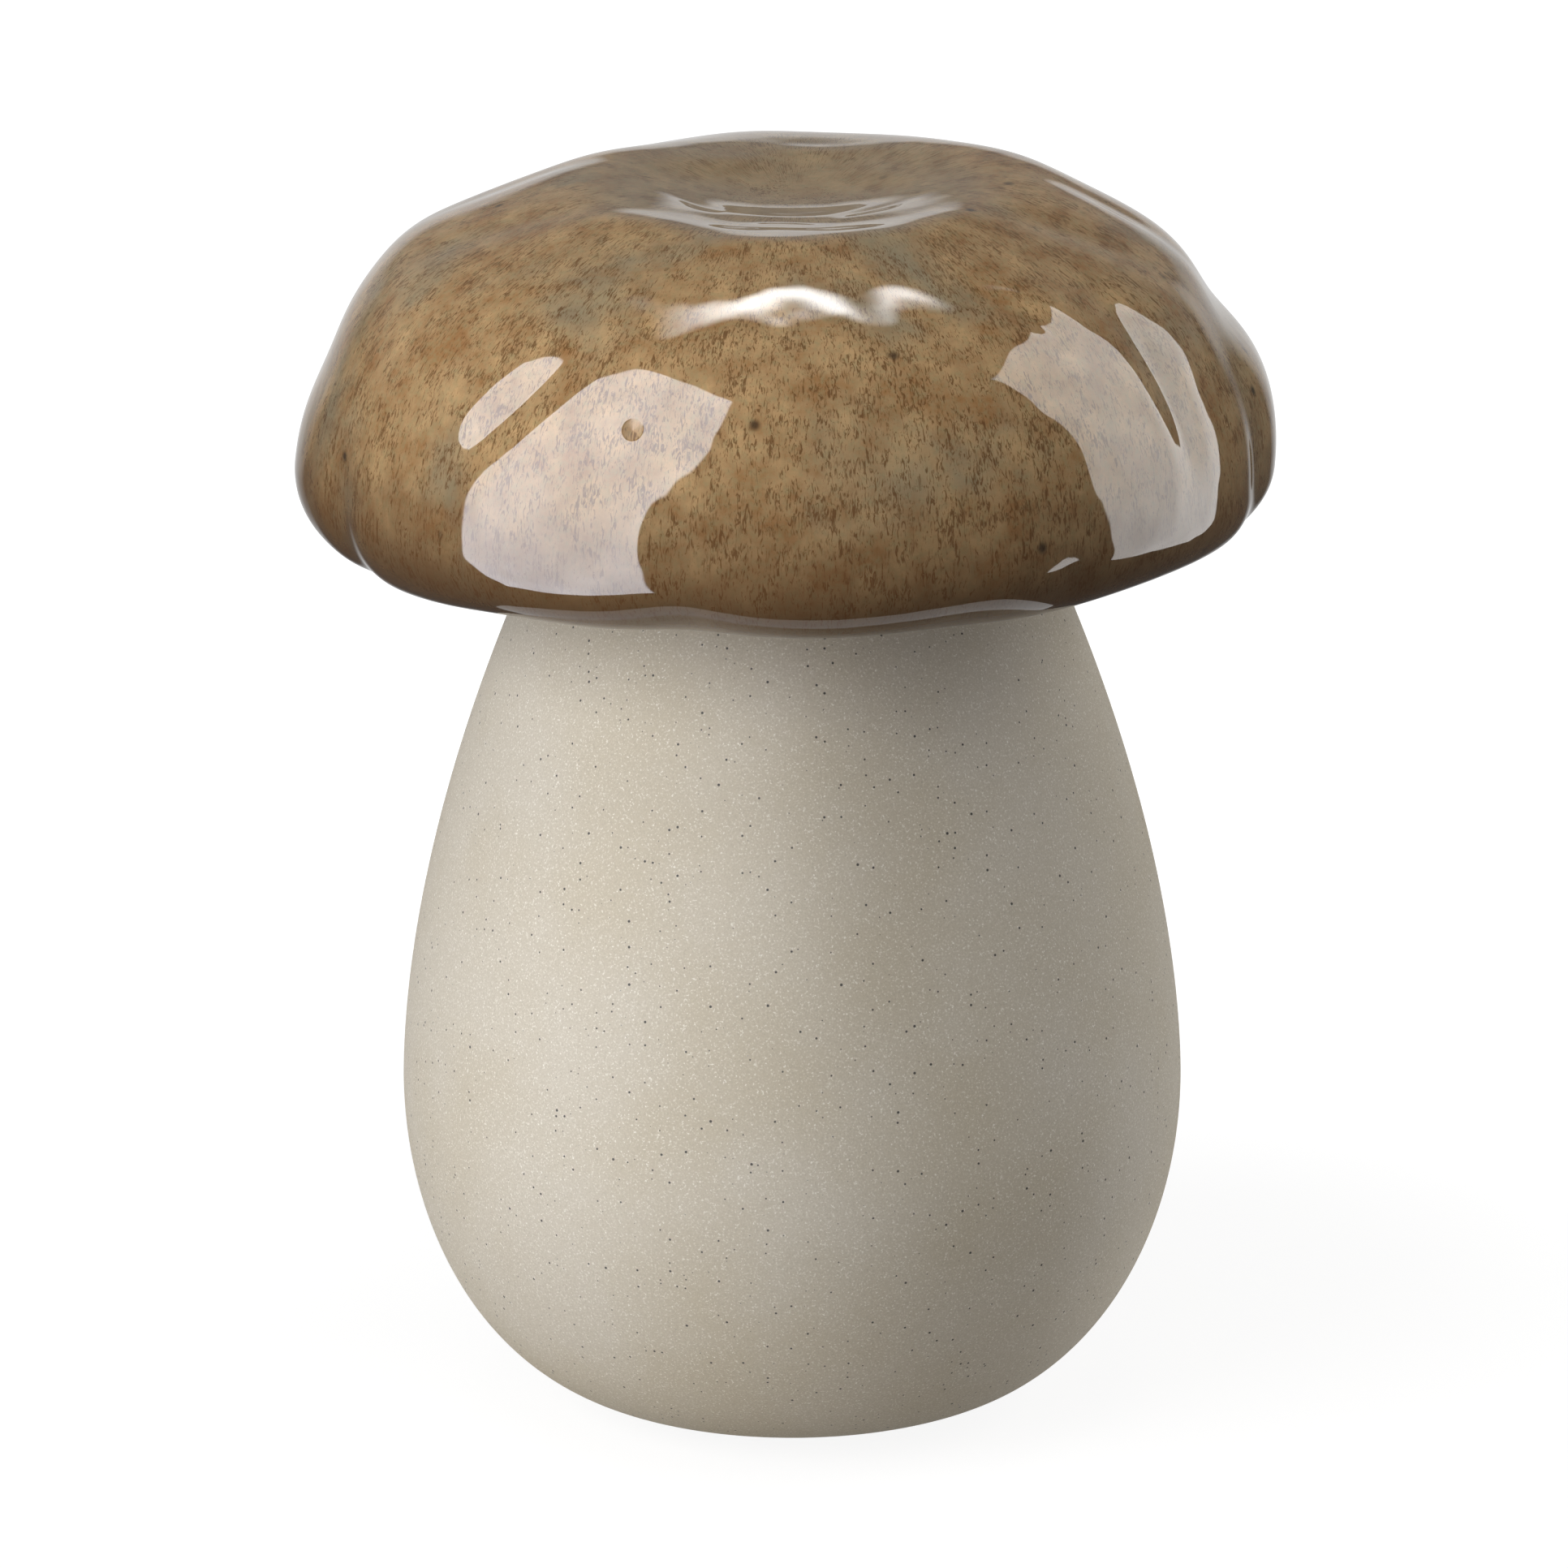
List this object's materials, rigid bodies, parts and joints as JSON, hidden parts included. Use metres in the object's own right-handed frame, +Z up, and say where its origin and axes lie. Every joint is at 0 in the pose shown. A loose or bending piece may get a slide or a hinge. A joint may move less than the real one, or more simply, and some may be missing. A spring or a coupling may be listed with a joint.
{
  "type": "ceramic mushroom ornament",
  "caption": "Free-standing ceramic mushroom with a bulbous bare stoneware stem and a dented, glossy glazed cap.",
  "frame": {"origin": "on the ground, below the middle of the ornament", "axes": "+Z up along the stem towards the cap, -Y towards the front"},
  "size_m": [0.1127, 0.1121, 0.1466],
  "materials": {
    "bare_stoneware": "unglazed, matt, fine-grained with dark iron specks",
    "brown_glaze": "thick clear glossy glaze over a mottled brown ground",
    "bond": "cured epoxy adhesive",
    "felt": "dense felt"
  },
  "bodies": {
    "root": {"stem_shell": "bare_stoneware", "cap_dome": "brown_glaze", "cap_underside": "brown_glaze", "neck_bond": "bond", "rim_bond": "bond", "foot_pad_front_left": "felt", "foot_pad_front_right": "felt", "foot_pad_back_left": "felt", "foot_pad_back_right": "felt"}
  },
  "joints": []
}
